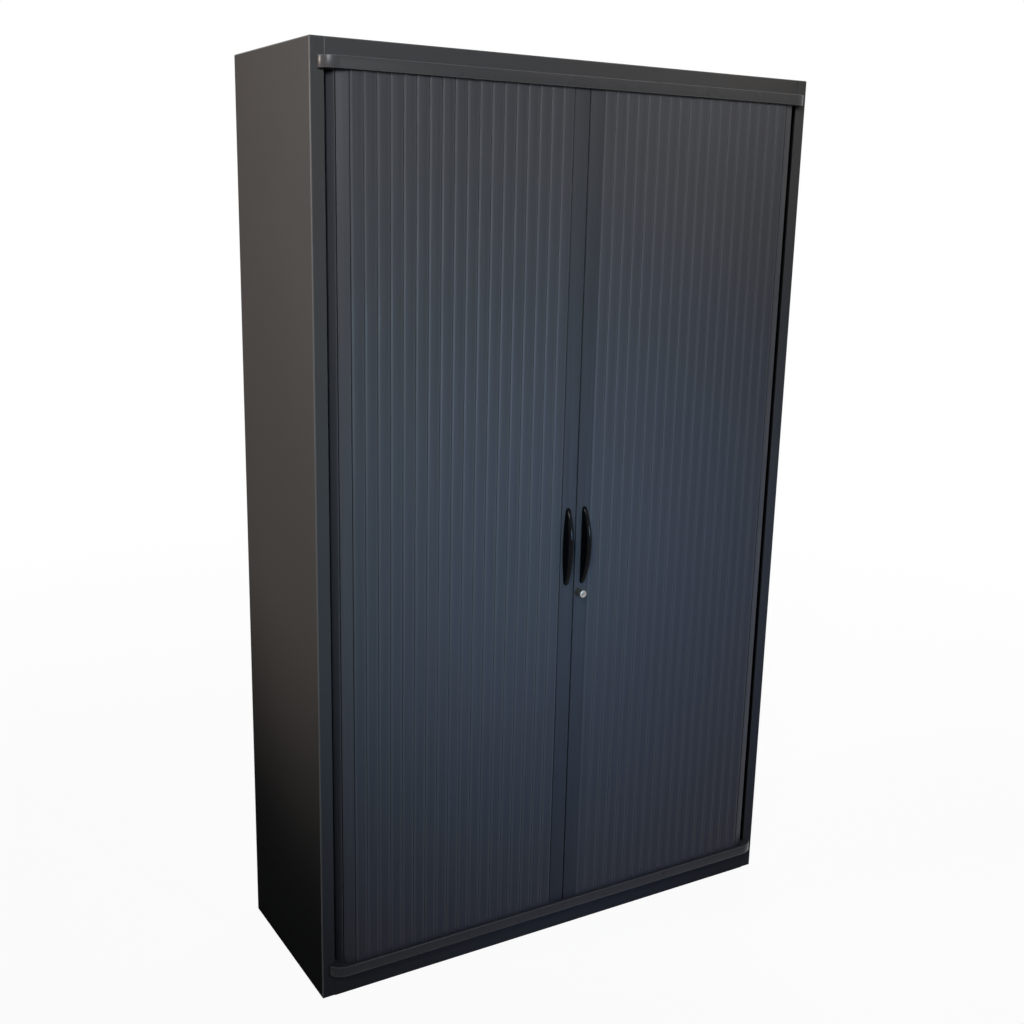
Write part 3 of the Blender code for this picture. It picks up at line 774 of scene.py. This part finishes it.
for node, name in (("left_liner", "leftLiner"), ("right_liner", "rightLiner")):
    liner = copyOfNode(node, name)
    punchSlots(liner, node)
    print(name, "open edges:", openEdges(liner))
    softenEdges(liner, 0.0004, 2, 60)
    smooth(liner)
    fit(liner, finishes["interior"], "interior_coat", node)
for number in range(1, 5):
    shelf = copyOfNode("shelf_%d" % number, "shelf%d" % number)
    softenEdges(shelf, 0.0005, 2, 60)
    smooth(shelf)
    fit(shelf, finishes["interior"], "interior_coat", "shelf_%d" % number)
print("interior placed")


# levelling feet

for place in ("left_front", "left_rear", "right_front", "right_rear"):
    words = place.split("_")
    foot = copyOfNode(place + "_foot", words[0] + words[1].capitalize() + "Foot")
    softenEdges(foot, 0.0008, 2, 50)
    smooth(foot)
    fit(foot, finishes["rubber"], "foot_rubber", place + "_foot")
print("feet placed")


# studio

studio = {
    "cameraPlace": (-1.4986, -2.4229, 1.6682), "cameraTurn": (76.354, -1.285, -30.679), "lens": 44.187,
    "keyPower": 12.5, "sidePower": 375, "fillPower": 205, "lowPower": 185, "cornerPower": 225,
    "stripPower": 4.5, "backPower": 60, "worldLevel": 0.05, "floorShare": 0.95,
}

clearSelection()
bpy.ops.object.camera_add(location=studio["cameraPlace"],
                          rotation=[math.radians(turn) for turn in studio["cameraTurn"]])
camera = bpy.context.object
camera.name = "photoCamera"
camera.data.lens = studio["lens"]
camera.data.sensor_width = 36
bpy.context.scene.camera = camera


def addLamp(name, place, aim, power, width, height, colour, spread=180):
    clearSelection()
    way = Vector(aim) - Vector(place)
    bpy.ops.object.light_add(type="AREA", location=place, rotation=way.to_track_quat("-Z", "Y").to_euler())
    lamp = bpy.context.object
    lamp.name = name
    lamp.data.shape = "RECTANGLE"
    lamp.data.size = width
    lamp.data.size_y = height
    lamp.data.energy = power
    lamp.data.color = colour
    lamp.data.spread = math.radians(spread)
    return lamp


def addSpot(name, place, aim, power, cone, softness, colour, blend=1):
    clearSelection()
    way = Vector(aim) - Vector(place)
    bpy.ops.object.light_add(type="SPOT", location=place, rotation=way.to_track_quat("-Z", "Y").to_euler())
    lamp = bpy.context.object
    lamp.name = name
    lamp.data.energy = power
    lamp.data.spot_size = math.radians(cone)
    lamp.data.spot_blend = blend
    lamp.data.shadow_soft_size = softness
    lamp.data.color = colour
    return lamp


# the key stands high on the left and a spot lights the side, two cool spots fill the front, a weak one lights
# the top right corner, and a thin strip is there for the handles' shine
addLamp("keyLamp", (-1.9, -2.2, 2.7), (-0.1, -0.2, 1.85), studio["keyPower"], 0.5, 0.8, (0.9, 0.94, 1.0), 72)
addSpot("sideSpot", (-3.2, 0.3, 2.4), (-0.6, 0, 1.5), studio["sidePower"], 37, 0.25, (1.0, 0.86, 0.75), 0.4)
addSpot("coolSpot", (-0.3, -3.4, 1.25), (-0.18, -0.2, 0.98), studio["fillPower"], 28, 0.4, (0.48, 0.88, 1.0))
addSpot("lowCoolSpot", (0.5, -3.3, 1.1), (0.1, -0.2, 0.72), studio["lowPower"], 36, 0.4, (0.2, 0.4, 1.0))
addSpot("cornerSpot", (1.2, -2.5, 3.1), (0.42, -0.2, 2.05), studio["cornerPower"], 20, 0.3, (1.0, 0.92, 0.84))
addLamp("stripLamp", (0.25, -3.0, 1.8), (0.0, -0.2, 1.3), studio["stripPower"], 0.05, 1.8,
        (1.0, 1.0, 1.0), 90)
# this one stands behind, for the back and the right side
addLamp("backLamp", (2.4, 2.4, 2.4), (0.3, 0.1, 1.1), studio["backPower"], 1.6, 1.2, (1.0, 0.97, 0.94))


def whiteForCamera(name, colour):
    # a pale diffuse floor that camera, mirror and clear rays see as white where no shadow lies
    material = bpy.data.materials.new(name)
    material.use_nodes = True
    tree = material.node_tree
    shader = tree.nodes["Principled BSDF"]
    shader.inputs["Base Color"].default_value = (*colour, 1)
    shader.inputs["Roughness"].default_value = 0.9
    shader.inputs["Specular IOR Level"].default_value = 0.1
    glow = tree.nodes.new("ShaderNodeEmission")
    glow.inputs["Color"].default_value = (1, 1, 1, 1)
    glow.inputs["Strength"].default_value = 1
    rays = tree.nodes.new("ShaderNodeLightPath")
    seen = tree.nodes.new("ShaderNodeMath")
    seen.operation = "MAXIMUM"
    tree.links.new(rays.outputs["Is Camera Ray"], seen.inputs[0])
    tree.links.new(rays.outputs["Is Glossy Ray"], seen.inputs[1])
    both = tree.nodes.new("ShaderNodeMath")
    both.operation = "MAXIMUM"
    tree.links.new(seen.outputs[0], both.inputs[0])
    tree.links.new(rays.outputs["Is Transmission Ray"], both.inputs[1])
    share = tree.nodes.new("ShaderNodeMath")
    share.operation = "MULTIPLY"
    tree.links.new(both.outputs[0], share.inputs[0])
    # near the cabinet the floor keeps its shadow, far away it is plain white
    place = tree.nodes.new("ShaderNodeTexCoord")
    reach = tree.nodes.new("ShaderNodeVectorMath")
    reach.operation = "LENGTH"
    tree.links.new(place.outputs["Object"], reach.inputs[0])
    fade = tree.nodes.new("ShaderNodeMapRange")
    fade.inputs["From Min"].default_value = 1.5
    fade.inputs["From Max"].default_value = 4
    fade.inputs["To Min"].default_value = studio["floorShare"]
    fade.inputs["To Max"].default_value = 1
    tree.links.new(reach.outputs["Value"], fade.inputs["Value"])
    tree.links.new(fade.outputs["Result"], share.inputs[1])
    mix = tree.nodes.new("ShaderNodeMixShader")
    tree.links.new(share.outputs[0], mix.inputs[0])
    tree.links.new(shader.outputs[0], mix.inputs[1])
    tree.links.new(glow.outputs[0], mix.inputs[2])
    tree.links.new(mix.outputs[0], tree.nodes["Material Output"].inputs["Surface"])
    tint = tree.nodes.new("ShaderNodeMix")
    tint.data_type = "RGBA"
    tint.inputs[6].default_value = (*shifted(colour, 0.3), 1)
    tint.inputs[7].default_value = (*colour, 1)
    tree.links.new(both.outputs[0], tint.inputs["Factor"])
    tree.links.new(tint.outputs[2], shader.inputs["Base Color"])
    return material


clearSelection()
bpy.ops.mesh.primitive_plane_add(size=400, location=(0, 0, 0))
floor = named("studioFloor")
paint(floor, whiteForCamera("studioFloorPale", (0.8, 0.8, 0.8)))

world = bpy.data.worlds.new("studioWorld")
bpy.context.scene.world = world
world.use_nodes = True
sky = world.node_tree
background = sky.nodes["Background"]
background.inputs["Color"].default_value = (0.9, 0.94, 1, 1)
background.inputs["Strength"].default_value = studio["worldLevel"]
white = sky.nodes.new("ShaderNodeBackground")
white.inputs["Color"].default_value = (1, 1, 1, 1)
white.inputs["Strength"].default_value = 1
skyRays = sky.nodes.new("ShaderNodeLightPath")
skyMix = sky.nodes.new("ShaderNodeMixShader")
skySeen = sky.nodes.new("ShaderNodeMath")
skySeen.operation = "MAXIMUM"
skyClear = sky.nodes.new("ShaderNodeMath")
skyClear.operation = "MAXIMUM"
sky.links.new(skyRays.outputs["Is Camera Ray"], skySeen.inputs[0])
sky.links.new(skyRays.outputs["Is Glossy Ray"], skySeen.inputs[1])
sky.links.new(skySeen.outputs[0], skyClear.inputs[0])
sky.links.new(skyRays.outputs["Is Transmission Ray"], skyClear.inputs[1])
sky.links.new(skyClear.outputs[0], skyMix.inputs[0])
sky.links.new(background.outputs[0], skyMix.inputs[1])
sky.links.new(white.outputs[0], skyMix.inputs[2])
sky.links.new(skyMix.outputs[0], sky.nodes["World Output"].inputs["Surface"])

bpy.context.scene.view_settings.view_transform = "Standard"
print("studio lit")

print("scene finished")
